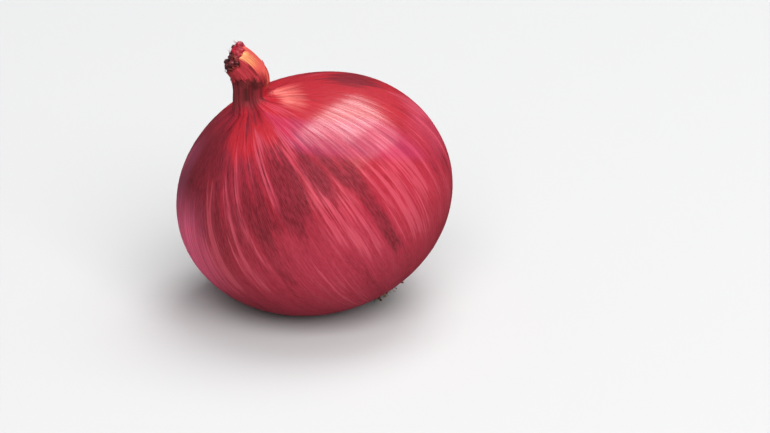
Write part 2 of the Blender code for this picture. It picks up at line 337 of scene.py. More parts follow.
def gathered(p):
    """Folds pinched into the neck, spreading out over the shoulder."""
    radius, turn = np.hypot(p[:, 0], p[:, 1]), np.arctan2(p[:, 1], p[:, 0])
    shoulder = np.where(p[:, 2] > 0, 1 - (radius - NECK_RADII[0][1]) / FOLD_FADE, 0)
    upwards = 1 - (1 - FOLDS_LEFT) * eased((p[:, 2] - POLE) / NECK_LENGTH)
    spread = eased(shoulder) * np.minimum(1, radius / NECK_RADII[0][1])
    small = SMALL_FOLD_DEPTH * np.sin(SMALL_FOLDS * turn + 3 * waves(FOLD_WAVES, turn))
    depth = (FOLD_DEPTH * fold_pinch(turn) + small) * upwards * spread
    on_neck = eased((p[:, 2] - POLE) / NECK_FILLET)
    moved = p.copy()
    moved[:, 0] += np.cos(turn) * depth * on_neck
    moved[:, 1] += np.sin(turn) * depth * on_neck
    moved[:, 2] += depth * (1 - on_neck)
    return moved


def brink(turn):
    """Height up the neck, in metres, of the ragged line where the outer sheath ends."""
    degrees = np.degrees(turn)
    left = between(degrees_apart(degrees, -128), 0, 10, 14)
    right = between(degrees_apart(degrees, -42), 0, 14, 14)
    return (BRINK + BRINK_LEFT * left + BRINK_RIGHT * right + waves(BRINK_WAVES, turn)) / 1000


def hooded(p):
    """The inner sheath, which stands a little proud of the outer one where that ends."""
    radius, turn = np.hypot(p[:, 0], p[:, 1]), np.arctan2(p[:, 1], p[:, 0])
    up = p[:, 2] - POLE
    risen = eased((up - brink(turn)) / LEDGE_WIDTH) - 0.5
    proud = HOOD_LEDGE * risen * eased(up / LEDGE_FOOT) * eased((LEDGE_END - up) / LEDGE_END_FADE)
    moved = p.copy()
    moved[:, 0] += np.cos(turn) * proud * eased(radius / LEDGE_INNER)
    moved[:, 1] += np.sin(turn) * proud * eased(radius / LEDGE_INNER)
    return moved


def crumpled(p):
    """Small lumps in the core that stands out of the torn end."""
    noise.seed_set(CRUMPLE_SEED)
    out = np.hypot(p[:, 0], p[:, 1]) / NECK_RADII[-1][1]
    share = eased((p[:, 2] - POLE - NECK_LENGTH + CRUMPLE_REACH) / CRUMPLE_FADE)
    share = share * eased((CRUMPLE_SHARE - out) / CRUMPLE_SHARE_FADE)
    moved = p.copy()
    for index in np.nonzero(share > 0)[0]:
        push = np.array(noise.noise_vector(Vector(p[index]) * CRUMPLE_SCALE))
        moved[index] += CRUMPLE * share[index] * push
    return moved


def torn(p):
    """The neck's end, slanted, with rounded knobs of crumpled skin inside a ragged rim."""
    share = eased((p[:, 2] - POLE - NECK_LENGTH + TEAR_REACH) / TEAR_REACH)
    out = np.hypot(p[:, 0], p[:, 1]) / NECK_RADII[-1][1]
    turn = np.arctan2(p[:, 1], p[:, 0])
    core = 1 - eased((out - CORE_EDGE[0]) / (CORE_EDGE[1] - CORE_EDGE[0]))
    crown = np.abs(np.sin(KNOBS / 2 * turn + waves(KNOB_WAVES, turn))) ** FOLD_SHARPNESS
    knobs = core * eased(2 * out) * KNOB_HEIGHT * (crown - KNOB_SINK)
    moved = p.copy()
    moved[:, 2] += share * (knobs + (1 - core) * waves(RIM_WAVES, turn) + TEAR_SLANT * out * np.cos(turn))
    return moved


def bent(p):
    """The neck's own bend, first back towards the upright and then over to one side."""
    steps = np.linspace(0, 1.3 * NECK_LENGTH, BEND_STEPS)
    turns = np.radians(along_keys(NECK_BENDS, (steps[1:] + steps[:-1]) / 2))
    run = np.cumsum(np.stack([np.sin(turns), np.cos(turns)], 1), axis=0) * steps[1]
    run = np.vstack([(0, 0), run])
    distance = np.clip(p[:, 2] - POLE, 0, None)
    turn = np.radians(along_keys(NECK_BENDS, distance))
    middle_x, middle_z = np.interp(distance, steps, run[:, 0]), np.interp(distance, steps, run[:, 1])
    moved = p.copy()
    on_neck = p[:, 2] > POLE
    moved[:, 0] = np.where(on_neck, middle_x + np.cos(turn) * p[:, 0], p[:, 0])
    moved[:, 2] = np.where(on_neck, POLE + middle_z - np.sin(turn) * p[:, 0], p[:, 2])
    return moved


def grown(p):
    """The leaning girdle, its faint waves and the fuller shoulder."""
    out = 2 * np.hypot(p[:, 0], p[:, 1]) / GIRTH
    uneven = 1 + out**2 * waves(GIRDLE_WAVES, np.arctan2(p[:, 1], p[:, 0]))
    wide = WIDTH_SHARE * p[:, 0] * uneven
    grew = np.column_stack([wide, p[:, 1] * uneven, p[:, 2] + RISE * wide])
    way = grew / np.linalg.norm(grew, axis=1, keepdims=True)
    towards = np.array(TO_REST.transposed() @ Vector(SWELL_TOWARDS).normalized())
    off = np.arccos(np.clip(way @ towards, -1, 1))
    on_body = 1 - eased((p[:, 2] - POLE) / NECK_FILLET)
    return grew + way * (SWELL * on_body * np.exp(-((off / SWELL_SPREAD) ** 2)))[:, None]


def laid_down(p):
    """From the onion's own axes to where it lies, with the flat under it pressed level."""
    laid = p @ np.array(TO_REST).T + np.array(CENTRE)
    laid[:, 2] = np.maximum(laid[:, 2], 0)
    return laid


# Its streaks, each as (turn, half width, from, to, amount), in degrees round the onion and down
# from its neck. An amount above 0 is pale and one below 0 is dark.
STREAKS = (
    (-141, 2.2, 45, 92, 0.95), (-128, 2.4, 48, 98, 0.9), (-120, 1.8, 36, 84, 0.85),
    (-117, 6.0, 42, 58, -0.4), (-111, 2.0, 35, 60, 0.6), (-102, 3.2, 28, 60, 1.2),
    (-94, 2.0, 32, 50, 0.5), (-85.5, 1.4, 34, 60, 0.9), (-82, 1.3, 30, 58, 0.7),
    (-73.5, 1.9, 26, 60, 0.8), (-68, 1.8, 30, 60, 0.7), (-160, 4.0, 66, 92, 0.7),
    (-171, 5.0, 60, 90, 0.7), (-153, 7.0, 24, 52, -0.6), (-135, 3.5, 30, 60, -0.5),
    (-124.5, 1.6, 36, 80, -0.5), (-115.5, 1.8, 34, 66, -0.5), (-107.5, 1.8, 30, 64, -0.5),
    (-98, 2.8, 36, 70, -0.9), (-91, 5.0, 45, 62, -1.3), (-79, 2.8, 42, 66, -1.3),
    (-69.5, 1.8, 40, 66, -1.2), (3, 6.5, 37, 48, -2.6), (-8, 4.0, 38, 42, -0.6),
    (-30, 6.0, 25, 29, -0.5), (-141, 9.0, 20, 38, -0.7), (-143, 7.0, 76, 98, 0.7),
    # The pale row at -2 degrees, 70 to 94 down, paints a rim light along the right limb
    (-2, 9.0, 70, 94, 1.1), (-5, 1.6, 60, 86, 0.6), (-145, 12.0, 108, 122, -0.6),
    (-70, 5.0, 36, 48, 0.5), (-109, 6.0, 55, 72, -0.9), (-95, 3.5, 50, 72, -1.2),
    (-83, 6.0, 33, 43, 0.6), (-72, 5.0, 46, 60, -0.9), (-55, 9.0, 54, 66, -0.6),
    (-134, 2.5, 60, 96, -0.7), (-114, 3.5, 62, 100, -0.6), (-97, 1.2, 8, 18, -1.1),
    (-90, 1.0, 7, 15, -0.9), (-80, 1.2, 7, 17, -0.7), (-66, 1.4, 7, 13, -0.6),
    (-50, 2.0, 7, 12, -0.6), (-105, 9.0, 8, 19, -0.7), (-66, 12.0, 12, 20, 0.8),
    (-110, 1.4, 8, 20, -0.8), (-122, 1.6, 8, 16, -0.8), (-140, 2.5, 8, 24, -0.7),
    (10, 1.2, 8, 20, -0.8),
)
SKIN_SEED = 5
HIDDEN_STREAKS = 44
LOW_STREAKS = 26
ROOT_END_STREAKS = 16

# Redder and darker patches of the neck: (turn, half width, from, to, amount), heights in millimetres
NECK_PATCHES = (
    (-110, 9, 2.5, 5.5, -1.0), (-80, 8, 6.0, 8.0, -1.0), (-68, 7, 1.0, 5.0, 0.6),
    (-34, 10, -1.0, 7.5, 1.3), (-42, 3, 2.5, 7.0, -1.0), (-132, 7, 0.5, 9.0, 0.3),
    (-92, 5, -1.0, 6.0, 0.3), (-99, 3, 0.0, 7.0, -0.7), (-55, 4, -1.0, 4.0, -0.8),
    (-150, 4, 2.0, 8.0, -0.5), (60, 12, 0.0, 6.0, 0.5), (110, 9, 3.0, 8.0, -0.7),
    (160, 12, 0.0, 5.0, 0.4),
)


def all_streaks():
    """The streaks of the side that shows, and seeded ones carried on round the rest."""
    draw = random.Random(SKIN_SEED)
    rows = list(STREAKS)
    for index in range(HIDDEN_STREAKS):
        turn = 14 + 160 * (index + draw.random()) / HIDDEN_STREAKS
        start, end, width = draw.uniform(26, 44), draw.uniform(58, 110), draw.uniform(1.2, 3.6)
        rows.append((turn, width, start, end, draw.choice((-0.7, 0.8)) * draw.uniform(0.6, 1.2)))
    for index in range(LOW_STREAKS):
        turn = -86 + 100 * (index + draw.random()) / LOW_STREAKS
        start, end, width = draw.uniform(60, 78), draw.uniform(92, 118), draw.uniform(1.0, 3.0)
        start += 16 * (turn > -32)
        rows.append((turn, width, start, end, draw.choice((-0.9, 0.7)) * draw.uniform(0.6, 1.2)))
    for index in range(ROOT_END_STREAKS):
        turn = -180 + 360 * (index + draw.random()) / ROOT_END_STREAKS
        width, start, end = draw.uniform(2, 5), draw.uniform(96, 112), draw.uniform(140, 170)
        rows.append((turn, width, start, end, draw.uniform(-0.6, 0.5)))
    return rows


def skin_masks(p):
    """Masks for the skin's colours and its painted light and shade, from the straight onion's points."""
    turn = np.degrees(np.arctan2(p[:, 1], p[:, 0]))
    radius = np.hypot(p[:, 0], p[:, 1])
    down = np.degrees(np.arctan2(2 * radius / GIRTH, p[:, 2] / POLE))
    up = (p[:, 2] - POLE) * 1000

    # On the bulb, by degrees round it and down from its neck
    tone = np.zeros(len(p))
    for middle, width, start, end, amount in all_streaks():
        drift = 0.8 * np.sin(np.radians(down * 5) + middle)
        across = np.exp(-((degrees_apart(turn, middle + drift) / (1.25 * width)) ** 2))
        frayed = 3 * np.sin(np.radians(71 * turn) + middle) + 3 * np.sin(np.radians(37 * turn) + 2 * middle)
        tone += amount * across * between(down + frayed, start + 2, end - 2, 11)
    red_side = between(degrees_apart(turn, -18), 0, 38, 18) * (1 - 0.6 * eased((down - 56) / 22))
    second_red = between(degrees_apart(turn, 118), 0, 16, 22)
    fingers = 3.5 * np.sin(np.radians(9 * turn + 70)) + 2.5 * np.sin(np.radians(23 * turn))
    fingers = fingers + 1.5 * np.sin(np.radians(41 * turn))
    fingers = fingers + 4 * between(degrees_apart(turn, -102), 0, 10, 10)
    maroon = eased((down - 26 - fingers) / 9) * eased((98 - down) / 36)
    maroon = maroon * (1 - 0.9 * np.maximum(red_side, second_red))
    shaded = between(degrees_apart(turn, 176), 0, 30, 24) * eased((down - 10) / 20) * eased((80 - down) / 26)
    # Painted shade: the left shoulder is darkened by adding it to the maroon mask
    left_shoulder_shade = between(degrees_apart(turn, 178), 0, 22, 30) * between(down, 4, 58, 12)
    plum = eased((down - 58) / 34) * (1 - 0.7 * red_side)
    # A painted orange highlight along the fillet at the neck's foot, slanting down round its right side
    past = down - 11 - 9 * eased((-8 - turn) / 48)
    past = past + np.sin(np.radians(71 * turn)) + np.sin(np.radians(43 * turn))
    highlight_band = np.maximum(between(past, -1, 1, 4.5), 0.6 * between(past, 0, 4, 7))

    # On the neck, by degrees round it and millimetres up and out
    hood = eased((up - 1000 * brink(np.radians(turn))) / 0.9 + 0.5)
    core = eased((up - 14.4) / 0.6) * eased((4.0 - radius * 1000) / 0.4)
    red_foot = between(degrees_apart(turn, -5), 0, 38, 14)
    dry = eased((up + 0.9) / 2.8) * eased((9.6 - radius * 1000) / 2.8) * (1 - 0.85 * red_foot)
    strip = between(turn + 0.8 * (up - 12), -56, -44, 6) * eased((up - 7) / 5)
    straw = np.maximum(0.8 * strip, between(turn, -58, -24, 12) * eased((up - 12.4) / 2.4))
    straw = np.maximum(straw, 0.55 * between(turn, -36, 10, 12) * between(up, 6.5, 14, 2.0))
    ochre = eased((up - 10) / 3.5) * between(turn, -80, -30, 14)
    smudge = between(turn, -68, -63, 3) * between(up, 9.5, 12, 0.8)
    shadow = 0.8 * eased((brink(np.radians(turn)) * 1000 - up) / 0.1) * between(up, 6.6, 9.6, 0.9)
    patches = sum(
        amount * np.exp(-((degrees_apart(turn, middle) / width) ** 2)) * between(up, low, high, 1.2)
        for middle, width, low, high, amount in NECK_PATCHES
    )
    # Painted shade in the creases of the neck's folds
    crease = np.clip(-fold_pinch(np.radians(turn)) / FOLD_MIDDLE, 0, 1) * eased((up + 3.0) / 2.6)
    return {
        "meridian": np.column_stack([
            np.cos(np.radians(turn)),
            np.sin(np.radians(turn)),
            np.radians(down) - np.clip(up, 0, None) / 42,
        ]),
        # The maroon mask also holds the painted shade of the left shoulder
        "maroon": np.clip(maroon + left_shoulder_shade, 0, 1),
        "tone": tone,
        "plum": plum,
        "shaded": shaded,
        # The painted orange highlight by the neck
        "painted_highlight": between(turn, -42, -6, 16) * highlight_band,
        # Pink low on the left, partly the skin's own waxy tint and partly painted sheen, and a faint painted
        # rim light on the right limb
        "bloom_and_sheen": np.maximum(
            between(degrees_apart(turn, -170), 0, 6, 26) * between(down, 72, 84, 28),
            0.15 * between(degrees_apart(turn, -6), 0, 10, 18) * between(down, 74, 88, 10),
        ),
        # A painted lilac reflection along the left limb
        "lilac": between(degrees_apart(turn, 178), 0, 6, 14) * between(down, 36, 56, 14),
        # A magenta tint painted into the highlight and along its lower edge
        "magenta": between(turn, -76, -36, 9) * between(down - 44 - 0.9 * (turn + 68), -16, 5, 8),
        "dry": dry,
        "dulled": eased((17 - radius * 1000) / 7) * (p[:, 2] > 0),
        "hood": hood,
        "patches": patches,
        "straw": straw,
        "ochre": ochre,
        # The smudge mask also holds the painted shadow under the edge of the hood
        "smudge": smudge + shadow,
        "core": core,
        "crimson_knob": core * between(degrees_apart(turn, -20), 0, 34, 10),
        "crease": crease * (1 - 0.8 * hood) * (1 - core),
    }


def mix(tree, factor, first, second):
    """One colour mixed over another."""
    return add(tree, "ShaderNodeMix", {0: factor, 6: first, 7: second}, data_type="RGBA").outputs[2]


def smooth(tree, value, low, high, first=0.0, last=1.0):
    """A value eased from first to last while another goes from low to high."""
    values = {0: value, 1: low, 2: high, 3: first, 4: last}
    return add(tree, "ShaderNodeMapRange", values, interpolation_type="SMOOTHSTEP").outputs[0]


def read(tree, name, socket="Fac"):
    """A mask or a vector that is painted on the mesh."""
    return add(tree, "ShaderNodeAttribute", attribute_name=name).outputs[socket]


def part(tree, name, amount):
    """A painted mask at a part of its strength."""
    return calc(tree, "MULTIPLY", read(tree, name), amount)


def thinned(tree, name, pattern, least, most):
    """A painted mask that follows a pattern, from least where that is 0 to most where it is 1."""
    return calc(tree, "MULTIPLY", read(tree, name), smooth(tree, pattern, 0.0, 1.0, least, most))


# Patterns in the skin, each as (name, scale across the meridians, scale along them)
GRAIN = (
    ("Bands", 16.0, 1.3), ("Blots", 30.0, 4.0), ("Lines", 52.0, 1.6), ("Hairs", 150.0, 2.2),
    ("Specks", 130.0, 16.0),
)


def grain_group():
    """The patterns in the skin, drawn out along the meridians, each from 0 to 1."""
    outputs = [(name, "Float") for name, across, along in GRAIN]
    tree, given, result = new_tree("Skin grain", "ShaderNodeTree", [("Meridian", "Vector")], outputs)
    for name, across, along in GRAIN:
        stretch = {0: given[0], 1: (across, across, along)}
        where = add(tree, "ShaderNodeVectorMath", stretch, operation="MULTIPLY").outputs[0]
        pattern = add(tree, "ShaderNodeTexNoise", {"Vector": where, "Scale": 1.0, "Detail": 3.0}).outputs[0]
        tree.links.new(smooth(tree, pattern, 0.34, 0.66), result.inputs[name])
    return tree


def principled(name, roughness, coat=0.0, coat_roughness=0.1):
    """A material with little gloss but that of its coat, and its node tree and shader."""
    material = bpy.data.materials.new(name)
    material.use_nodes = True
    shader = material.node_tree.nodes["Principled BSDF"]
    shader.inputs["Roughness"].default_value = roughness
    shader.inputs["Coat Weight"].default_value = coat
    shader.inputs["Coat Roughness"].default_value = coat_roughness
    shader.inputs["Specular IOR Level"].default_value = 0.1
    shader.inputs["Coat IOR"].default_value = 1.9
    return material, material.node_tree, shader


# Colours of the bulb's skin
CRIMSON = (0.44, 0.013, 0.020, 1)
PLUM = (0.37, 0.022, 0.045, 1)
MAROON = (0.27, 0.022, 0.040, 1)
DEEP_MAROON = (0.12, 0.010, 0.018, 1)
SHADED_SIDE = (0.10, 0.009, 0.013, 1)
PALE_STREAK = (0.62, 0.082, 0.122, 1)
DARK_STREAK = (0.115, 0.010, 0.015, 1)
HAIR_LINE = (0.20, 0.016, 0.028, 1)
SPECK = (0.62, 0.060, 0.105, 1)
# Pink that is partly the skin's own and partly painted sheen and rim light
PINK_BLOOM_AND_SHEEN = (0.92, 0.13, 0.26, 1)
# The colour of the painted reflection on the left limb
LILAC_REFLECTION = (0.36, 0.085, 0.17, 1)
# The tint painted into the highlight
MAGENTA_HIGHLIGHT_TINT = (0.42, 0.035, 0.14, 1)
# The orange of the painted highlight by the neck
ORANGE_HIGHLIGHT = (0.80, 0.21, 0.18, 1)

# Colours of its dry neck
SHEATH_DARK = (0.14, 0.018, 0.024, 1)
SHEATH_RED = (0.32, 0.038, 0.050, 1)
SHEATH_BLOT = (0.10, 0.017, 0.015, 1)
PATCH_RED = (0.40, 0.030, 0.048, 1)
PATCH_DARK = (0.055, 0.012, 0.012, 1)
HOOD_DARK = (0.26, 0.016, 0.026, 1)
HOOD_RED = (0.46, 0.045, 0.055, 1)
ORANGE_DARK = (0.62, 0.080, 0.060, 1)
ORANGE = (0.82, 0.18, 0.110, 1)
STRAW_DARK = (0.64, 0.18, 0.070, 1)
STRAW = (0.84, 0.44, 0.18, 1)
# Also the colour of the painted shadow under the hood's edge
SMUDGE_AND_SHADOW = (0.07, 0.010, 0.010, 1)
# The painted shade in the creases of the folds
CREASE_SHADE = (0.05, 0.006, 0.010, 1)
CORE_DARK = (0.035, 0.006, 0.008, 1)
CORE_RED = (0.16, 0.014, 0.022, 1)
KNOB_RED = (0.42, 0.018, 0.040, 1)


def body_colour(tree, grain, streaky):
    """The bulb's red with its maroon bands and blots and its streaks, a pink that is partly painted sheen,
    and painted shade, a limb reflection, a tint in the highlight and an orange highlight.
    """
    bands, blots, lines, hairs, specks = grain
    colour = mix(tree, read(tree, "plum"), CRIMSON, PLUM)
    maroon = mix(tree, blots, DEEP_MAROON, MAROON)
    # The maroon mask also paints shade on the left shoulder
    colour = mix(tree, thinned(tree, "maroon", bands, 0.68, 1.0), colour, maroon)
    colour = mix(tree, part(tree, "shaded", 0.84), colour, SHADED_SIDE)
    pale = calc(tree, "MULTIPLY", smooth(tree, streaky, 0.0, 1.2), 0.72)
    dark = calc(tree, "MULTIPLY", smooth(tree, streaky, 0.0, -1.1), 0.88)
    colour = mix(tree, pale, colour, PALE_STREAK)
    colour = mix(tree, dark, colour, DARK_STREAK)
    colour = mix(tree, smooth(tree, hairs, 0.0, 1.0, 0.0, 0.34), colour, HAIR_LINE)
    colour = mix(tree, smooth(tree, specks, 0.0, 1.0, 0.0, 0.18), colour, SPECK)
    # Pink low on the left, partly painted sheen, and a painted rim light on the right limb
    colour = mix(tree, thinned(tree, "bloom_and_sheen", lines, 0.55, 1.0), colour, PINK_BLOOM_AND_SHEEN)
    # The painted lilac reflection on the left limb
    colour = mix(tree, part(tree, "lilac", 0.32), colour, LILAC_REFLECTION)
    # The magenta tint painted into the highlight
    colour = mix(tree, part(tree, "magenta", 0.28), colour, MAGENTA_HIGHLIGHT_TINT)
    # The painted orange highlight by the neck
    return mix(tree, thinned(tree, "painted_highlight", lines, 0.45, 1.0), colour, ORANGE_HIGHLIGHT)


def neck_colour(tree, grain, colour):
    """The bulb's colour with the dry sheath, the hood with its straw side, painted shade and the core laid
    over it.
    """
    lines, blots = grain["Lines"], grain["Blots"]
    sheath = mix(tree, lines, SHEATH_DARK, SHEATH_RED)
    sheath = mix(tree, smooth(tree, blots, 0.0, 1.0, 0.0, 0.6), sheath, SHEATH_BLOT)
    patches = thinned(tree, "patches", lines, 0.6, 1.2)
    sheath = mix(tree, smooth(tree, patches, 0.0, 1.0, 0.0, 0.85), sheath, PATCH_RED)
    sheath = mix(tree, smooth(tree, patches, 0.0, -1.0, 0.0, 0.8), sheath, PATCH_DARK)
    colour = mix(tree, read(tree, "dry"), colour, sheath)
    colour = mix(tree, read(tree, "hood"), colour, mix(tree, blots, HOOD_DARK, HOOD_RED))
    orange = mix(tree, lines, ORANGE_DARK, ORANGE)
    yellow = mix(tree, lines, STRAW_DARK, STRAW)
    colour = mix(tree, part(tree, "straw", 0.9), colour, mix(tree, read(tree, "ochre"), orange, yellow))
    # A dark smudge, and a painted shadow under the hood's edge
    colour = mix(tree, part(tree, "smudge", 0.6), colour, SMUDGE_AND_SHADOW)
    # Painted shade in the creases of the neck's folds
    colour = mix(tree, part(tree, "crease", 0.55), colour, CREASE_SHADE)
    colour = mix(tree, read(tree, "core"), colour, mix(tree, lines, CORE_DARK, CORE_RED))
    return mix(tree, read(tree, "crimson_knob"), colour, KNOB_RED)


def skin_material(grain_tree):
    """Crimson skin under a clear coat, which is duller on the neck, in the lines and at the rim."""
    material, tree, shader = principled("onion_skin", 0.45, 1.0, 0.19)
    group = add(tree, "ShaderNodeGroup", {}, node_tree=grain_tree)
    tree.links.new(read(tree, "meridian", "Vector"), group.inputs[0])
    grain = group.outputs
    lines, blots, hairs = grain["Lines"], grain["Blots"], grain["Hairs"]
    mottle = smooth(tree, lines, 0.0, 1.0, 0.35, 1.05)
    mottle = calc(tree, "ADD", mottle, smooth(tree, blots, 0.0, 1.0, 0.0, 0.55))
    streaky = calc(tree, "MULTIPLY", read(tree, "tone"), mottle)
    streaky = calc(tree, "ADD", streaky, smooth(tree, lines, 0.0, 1.0, -0.3, 0.3))
    colour = neck_colour(tree, grain, body_colour(tree, grain, streaky))
    tree.links.new(colour, shader.inputs["Base Color"])
    worn = calc(tree, "MAXIMUM", read(tree, "dulled"), read(tree, "hood"))
    rough = smooth(tree, worn, 0.0, 1.0, 0.42, 0.62)
    rough = calc(tree, "ADD", rough, smooth(tree, hairs, 0.0, 1.0, 0.0, 0.1))
    tree.links.new(rough, shader.inputs["Roughness"])
    facing = add(tree, "ShaderNodeLayerWeight", {"Blend": 0.5}).outputs["Facing"]
    gloss = smooth(tree, worn, 0.0, 1.0, 1.0, 0.1)
    for value, low, high, first, last in (
        (facing, 0.55, 0.85, 1.0, 0.35), (lines, 0.0, 1.0, 0.58, 1.0),
        (hairs, 0.0, 1.0, 1.0, 0.58), (streaky, -0.9, 0.4, 0.5, 1.0),
    ):
        gloss = calc(tree, "MULTIPLY", gloss, smooth(tree, value, low, high, first, last))
    tree.links.new(gloss, shader.inputs["Coat Weight"])
    height = calc(tree, "ADD", calc(tree, "MULTIPLY", lines, 0.6), calc(tree, "MULTIPLY", hairs, 0.4))
    bump = add(tree, "ShaderNodeBump", {"Strength": 0.35, "Distance": 0.0002, "Height": height})
    tree.links.new(bump.outputs[0], shader.inputs["Normal"])
    return material


skin_values = {"Columns": COLUMNS, "Rib Count": RIB_COUNT, "Rib Depth": RIB_DEPTH}
skin_values |= {"Vein Count": VEIN_COUNT, "Vein Depth": VEIN_DEPTH, "Material": skin_material(grain_group())}
skin_outline = np.insert(skin_profile(), 1, 0.0, axis=1)
turned_skin = turned_skin_tree()
skin = made_by(turned_skin, "onion_skin", line_mesh("skin_line", skin_outline), skin_values)
straight = mesh_points(skin.data)
for name, values in skin_masks(straight).items():
    paint(skin.data, name, values)
set_points(skin.data, laid_down(grown(bent(torn(crumpled(hooded(gathered(straight))))))))
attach(skin, "root")
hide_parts("bulb")

# The crumpled core
# The shrivelled, dark ends of the inner leaves, rolled up into knobs as they dried. They are still
# grown on, and stand out of the torn rim of the outer sheath.

# Each knob as (turn in degrees, distance out, height over the torn end, radius, redness), with
# its three sizes in millimetres
CORE_KNOBS = (
    (12, 4.5, -0.4, 1.15, 1.0), (-14, 3.7, -0.7, 1.05, 1.0), (30, 3.3, 0.6, 0.7, 0.0),
    (-46, 3.6, -0.3, 1.0, 0.8), (-66, 3.6, -1.0, 0.9, 0.6), (-70, 1.5, 0.2, 0.85, 0.1),
    (-82, 2.6, -0.5, 0.85, 0.3), (-84, 3.8, -1.4, 0.6, 0.0), (-104, 3.6, -0.3, 0.95, 0.15),
    (-129, 3.8, -0.3, 0.85, 0.0), (-152, 3.3, -0.8, 0.9, 0.0), (175, 3.2, -0.6, 0.9, 0.2),
    (140, 3.0, -0.4, 1.0, 0.0), (105, 3.1, -0.7, 0.9, 0.5), (62, 3.2, -0.5, 0.9, 0.3),
    (100, 1.2, -0.3, 0.8, 0.1),
)
KNOB_LUMP_SCALE = 700.0
KNOB_LUMP_DEPTH = 0.0014
CORE_BROWNS = ((0.030, 0.007, 0.008, 1), (0.12, 0.028, 0.030, 1))
CORE_REDS = ((0.18, 0.010, 0.020, 1), (0.52, 0.030, 0.060, 1))


def knobs_tree():
    """Lumpy round knobs, one on each point of a mesh."""
    inputs = [("Geometry", "Geometry"), ("Lump Scale", "Float"), ("Lump Depth", "Float")]
    inputs += [("Material", "Material")]
    tree, given, result = new_tree("Core knobs", "GeometryNodeTree", inputs, [("Geometry", "Geometry")])
    ball = add(tree, "GeometryNodeMeshIcoSphere", {"Radius": 1.0, "Subdivisions": 5}).outputs["Mesh"]
    size = add(tree, "GeometryNodeInputNamedAttribute", {"Name": "size"}, data_type="FLOAT")
    balls = {"Points": given["Geometry"], "Instance": ball, "Scale": size.outputs["Attribute"]}
    shape = add(tree, "GeometryNodeInstanceOnPoints", balls).outputs[0]
    shape = add(tree, "GeometryNodeRealizeInstances", {0: shape}).outputs[0]
    lumps = {"Scale": given["Lump Scale"], "Detail": 4.0, "Roughness": 0.6}
    pattern = add(tree, "ShaderNodeTexNoise", lumps).outputs[0]
    step = calc(tree, "MULTIPLY", calc(tree, "SUBTRACT", pattern, 0.5), given["Lump Depth"])
    normal = add(tree, "GeometryNodeInputNormal").outputs[0]
    offset = add(tree, "ShaderNodeVectorMath", {0: normal, "Scale": step}, operation="SCALE").outputs[0]
    shape = add(tree, "GeometryNodeSetPosition", {"Geometry": shape, "Offset": offset}).outputs[0]
    shape = add(tree, "GeometryNodeSetShadeSmooth", {0: shape}).outputs[0]
    close_tree(tree, shape, given, result)
    return tree


def object_noise(tree, scale, detail):
    """A noise pattern in the piece's own coordinates."""
    place = add(tree, "ShaderNodeTexCoord").outputs["Object"]
    return add(tree, "ShaderNodeTexNoise", {"Vector": place, "Scale": scale, "Detail": detail}).outputs[0]


def core_material():
    """Dark shrivelled skin, from brown to red by each knob's redness."""
    material, tree, shader = principled("dried_core", 0.42, 0.4, 0.3)
    pattern = object_noise(tree, 1400.0, 3.0)
    spots = smooth(tree, pattern, 0.36, 0.64)
    brown, red = mix(tree, spots, *CORE_BROWNS), mix(tree, spots, *CORE_REDS)
    tree.links.new(mix(tree, read(tree, "redness"), brown, red), shader.inputs["Base Color"])
    bump = add(tree, "ShaderNodeBump", {"Strength": 0.5, "Distance": 0.0002, "Height": pattern})
    tree.links.new(bump.outputs[0], shader.inputs["Normal"])
    return material


turn, out, height, size, redness = np.array(CORE_KNOBS).T
places = np.column_stack([out * np.cos(np.radians(turn)), out * np.sin(np.radians(turn)), height]) / 1000
places[:, 2] += POLE + NECK_LENGTH
spots = bpy.data.meshes.new("knob_places")
spots.from_pydata([tuple(place) for place in places], [], [])
paint(spots, "size", size / 1000)
paint(spots, "redness", redness)
knob_values = {"Lump Scale": KNOB_LUMP_SCALE, "Lump Depth": KNOB_LUMP_DEPTH, "Material": core_material()}
core = made_by(knobs_tree(), "torn_core", spots, knob_values)
set_points(core.data, laid_down(grown(bent(mesh_points(core.data)))))
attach(core, "root")
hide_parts("bulb")

# The fibres
# Loose dry strands of skin that fray from the torn rim, and from the ragged edge of the outer
# sheath. Each is still grown on at its foot.

FIBRE_SEED = 11
FIBRE_LIFT = 0.0004
FIBRE_RADII = {"Foot Radius": 0.00008, "Tip Radius": 0.00003}
FIBRE_POINTS = 7
RIM_DEPTH = 0.0009


def tapered_tree():
    """Round tapering threads along every line of a mesh."""
    inputs = [("Geometry", "Geometry"), ("Foot Radius", "Float"), ("Tip Radius", "Float")]
    inputs += [("Material", "Material")]
    tree, given, result = new_tree("Tapered threads", "GeometryNodeTree", inputs, [("Geometry", "Geometry")])
    curve = add(tree, "GeometryNodeMeshToCurve", {"Mesh": given["Geometry"]}).outputs[0]
    along = add(tree, "GeometryNodeSplineParameter").outputs["Factor"]
    ends = {0: along, 3: given["Foot Radius"], 4: given["Tip Radius"]}
    radius = add(tree, "ShaderNodeMapRange", ends).outputs[0]
    ring = add(tree, "GeometryNodeCurvePrimitiveCircle", {"Resolution": 7, "Radius": 1.0}).outputs[0]
    tube = {"Curve": curve, "Profile Curve": ring, "Scale": radius, "Fill Caps": True}
    shape = add(tree, "GeometryNodeCurveToMesh", tube).outputs[0]
    close_tree(tree, shape, given, result)
    return tree


def lines_mesh(name, lines):
    """Many lines, each through its own points, as the edges of one mesh."""
    mesh = bpy.data.meshes.new(name)
    points = [tuple(p) for line in lines for p in line]
    edges, start = [], 0
    for line in lines:
        edges += [(start + i, start + i + 1) for i in range(len(line) - 1)]
        start += len(line)
    mesh.from_pydata(points, edges, [])
    return mesh


